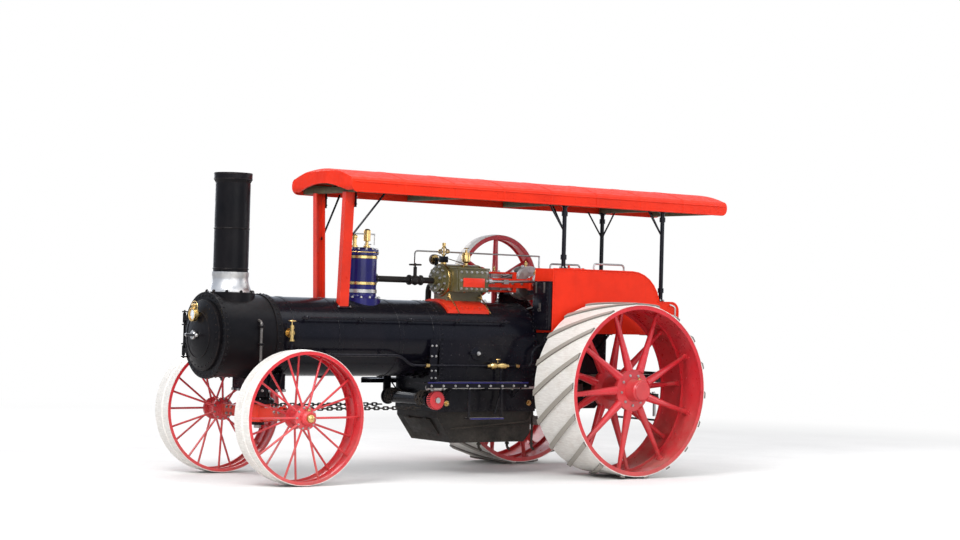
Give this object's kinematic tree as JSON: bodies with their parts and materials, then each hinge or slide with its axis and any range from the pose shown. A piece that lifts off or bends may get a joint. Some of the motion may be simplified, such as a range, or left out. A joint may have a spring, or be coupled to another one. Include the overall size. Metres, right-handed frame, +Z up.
{
  "type": "steam traction engine",
  "caption": "Steam traction engine with a long arched canopy, spoked steel wheels, chain steering, a chimney at the front and an open engine with a flywheel on the boiler.",
  "frame": {"origin": "on the ground, at the middle of the box round the whole machine", "axes": "+X forward along the machine, +Y to its left, +Z up"},
  "size_m": [6.067, 2.58, 2.915],
  "materials": {
    "black_paint": "gloss black over riveted plate",
    "stove_black": "satin heat-proof black",
    "orange_red_paint": "gloss orange-red",
    "red_paint": "gloss bright red",
    "brass": "polished and dulled by heat",
    "bare_steel": "bright and oiled",
    "olive_lagging": "painted sheet lagging",
    "timber": "worn boards"
  },
  "bodies": {
    "machine": {"smokebox": "stove_black", "boiler_barrel": "black_paint", "firebox": "black_paint", "ash_pan": "black_paint", "stack": "stove_black", "steam_dome": "black_paint", "whistle": "brass", "steam_pipe": "black_paint", "cylinder": "olive_lagging", "engine_frame": "orange_red_paint", "connecting_rod": "bare_steel", "valve_gear": "bare_steel", "governor": "brass", "gear_train": "bare_steel", "horn_plate_left": "black_paint", "horn_plate_right": "black_paint", "platform": "timber", "water_tank": "red_paint", "coal_bunker": "red_paint", "canopy": "red_paint", "front_posts": "orange_red_paint", "tank_posts": "black_paint", "rear_axle": "black_paint", "front_pedestal": "black_paint", "steering_roller": "orange_red_paint", "roller_brackets": "black_paint", "steering_column": "bare_steel", "footboard_left": "black_paint", "footboard_right": "black_paint", "feed_fittings": "brass", "backhead_fittings": "brass", "drawbar": "black_paint"},
    "smokebox_door": {"smokebox_door": "stove_black", "headlamp": "brass"},
    "fire_door": {"fire_door": "black_paint"},
    "tank_lid": {"tank_lid": "red_paint"},
    "crank": {"crankshaft": "bare_steel", "flywheel": "black_paint"},
    "rear_wheel_left": {"rear_wheel_left": "orange_red_paint"},
    "rear_wheel_right": {"rear_wheel_right": "orange_red_paint"},
    "front_axle": {"front_axle": "orange_red_paint"},
    "front_wheel_left": {"front_wheel_left": "orange_red_paint"},
    "front_wheel_right": {"front_wheel_right": "orange_red_paint"},
    "chain_left": {"chain_left": "bare_steel"},
    "chain_right": {"chain_right": "bare_steel"}
  },
  "joints": [
    {"name": "steer", "type": "hinge", "parent": "machine", "child": "front_axle", "pos_m": [2.3065, 0, 0.61], "axis": [0, 0, 1], "range_deg": [-25, 25]},
    {"name": "front_wheel_left_spin", "type": "hinge", "parent": "front_axle", "child": "front_wheel_left", "pos_m": [2.3065, 0.755, 0.61], "axis": [0, 1, 0], "continuous": true},
    {"name": "front_wheel_right_spin", "type": "hinge", "parent": "front_axle", "child": "front_wheel_right", "pos_m": [2.3065, -0.755, 0.61], "axis": [0, 1, 0], "continuous": true},
    {"name": "rear_wheel_left_spin", "type": "hinge", "parent": "machine", "child": "rear_wheel_left", "pos_m": [-1.2735, 0.945, 0.865], "axis": [0, 1, 0], "continuous": true},
    {"name": "rear_wheel_right_spin", "type": "hinge", "parent": "machine", "child": "rear_wheel_right", "pos_m": [-1.2735, -0.945, 0.865], "axis": [0, 1, 0], "continuous": true},
    {"name": "crank_turn", "type": "hinge", "parent": "machine", "child": "crank", "pos_m": [-0.7735, 0, 1.9], "axis": [0, 1, 0], "continuous": true},
    {"name": "smokebox_door_hinge", "type": "hinge", "parent": "machine", "child": "smokebox_door", "pos_m": [2.9105, -0.347, 1.32], "axis": [0, 0, -1], "range_deg": [0, 110]},
    {"name": "fire_door_hinge", "type": "hinge", "parent": "machine", "child": "fire_door", "pos_m": [-0.6735, 0.175, 1.21], "axis": [0, 0, -1], "range_deg": [0, 95]},
    {"name": "tank_lid_hinge", "type": "hinge", "parent": "machine", "child": "tank_lid", "pos_m": [-1.1385, 0.456, 2.0543], "axis": [0, -1, 0], "range_deg": [0, 100]},
    {"name": "chain_left_swing", "type": "hinge", "parent": "front_axle", "child": "chain_left", "pos_m": [2.2215, 0.335, 0.6615], "axis": [0, 0, 1], "range_deg": [-25, 25]},
    {"name": "chain_right_swing", "type": "hinge", "parent": "front_axle", "child": "chain_right", "pos_m": [2.2215, -0.335, 0.6615], "axis": [0, 0, 1], "range_deg": [-25, 25]}
  ],
  "couplings": [
    {"joint": "chain_left_swing", "follows": "steer", "ratio": -1},
    {"joint": "chain_right_swing", "follows": "steer", "ratio": -1}
  ]
}
